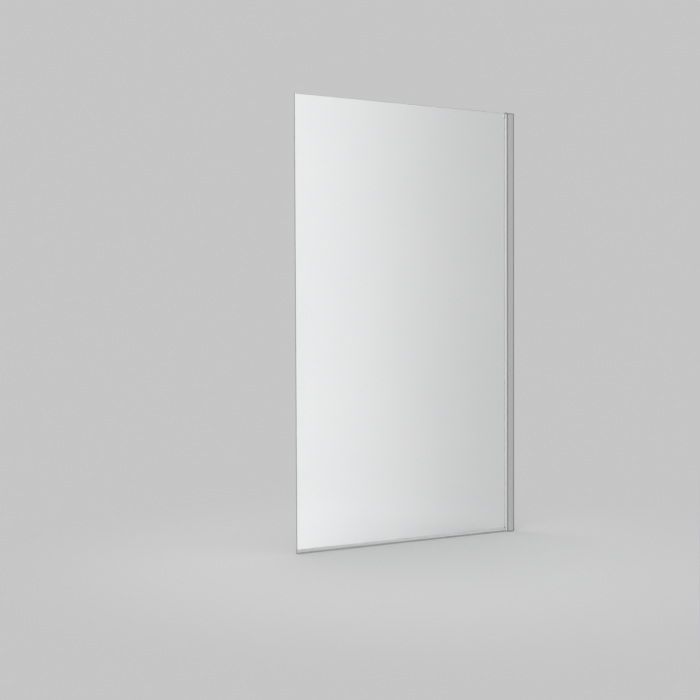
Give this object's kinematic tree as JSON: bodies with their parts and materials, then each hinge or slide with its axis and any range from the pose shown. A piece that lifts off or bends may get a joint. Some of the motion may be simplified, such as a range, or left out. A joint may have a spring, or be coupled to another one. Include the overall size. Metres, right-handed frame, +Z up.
{
  "type": "bath screen",
  "caption": "Frameless clear glass bath screen that swings both ways on a full-height satin aluminium pivot profile, with a wiping seal under the glass.",
  "frame": {"origin": "centre of the profile's wall face, halfway up the screen", "axes": "+X into the wall, +Y towards the bath, +Z up; the glass reaches out along -X"},
  "size_m": [0.8, 0.0234, 1.4029],
  "materials": {
    "dark_foam": "closed-cell foam",
    "satin_aluminium": "satin anodised",
    "cast_zinc": "satin plated casting",
    "stainless_steel": "machined",
    "dark_steel": "blackened",
    "clear_glass": "clear toughened, ground edges",
    "clear_gasket": "translucent",
    "clear_vinyl": "frosted clear vinyl",
    "soft_seal": "soft vinyl",
    "grey_rubber": "matt",
    "grey_plastic": "moulded",
    "white_acetal": "moulded"
  },
  "bodies": {
    "wall_profile": {"bedding_strip": "dark_foam", "wall_channel": "satin_aluminium", "pivot_jamb": "satin_aluminium", "bath_side_wiper": "grey_rubber", "room_side_wiper": "grey_rubber", "top_bracket": "cast_zinc", "bottom_bracket": "cast_zinc", "top_bush": "white_acetal", "bottom_bush": "white_acetal", "thrust_washer": "stainless_steel", "bracket_screws": "stainless_steel", "side_screws": "stainless_steel", "screw_covers": "grey_plastic"},
    "panel": {"hinge_tube": "satin_aluminium", "top_tube_plug": "cast_zinc", "bottom_tube_plug": "cast_zinc", "grub_screws": "stainless_steel", "top_pivot_screw": "dark_steel", "bottom_pivot_pin": "stainless_steel", "glass_panel": "clear_glass", "glazing_gasket": "clear_gasket", "seal_clip": "clear_vinyl", "seal_fins": "soft_seal"}
  },
  "joints": [
    {"name": "panel_swing", "type": "hinge", "parent": "wall_profile", "child": "panel", "pos_m": [-0.026, 0, 0], "axis": [0, 0, 1], "range_deg": [-90, 90]}
  ]
}
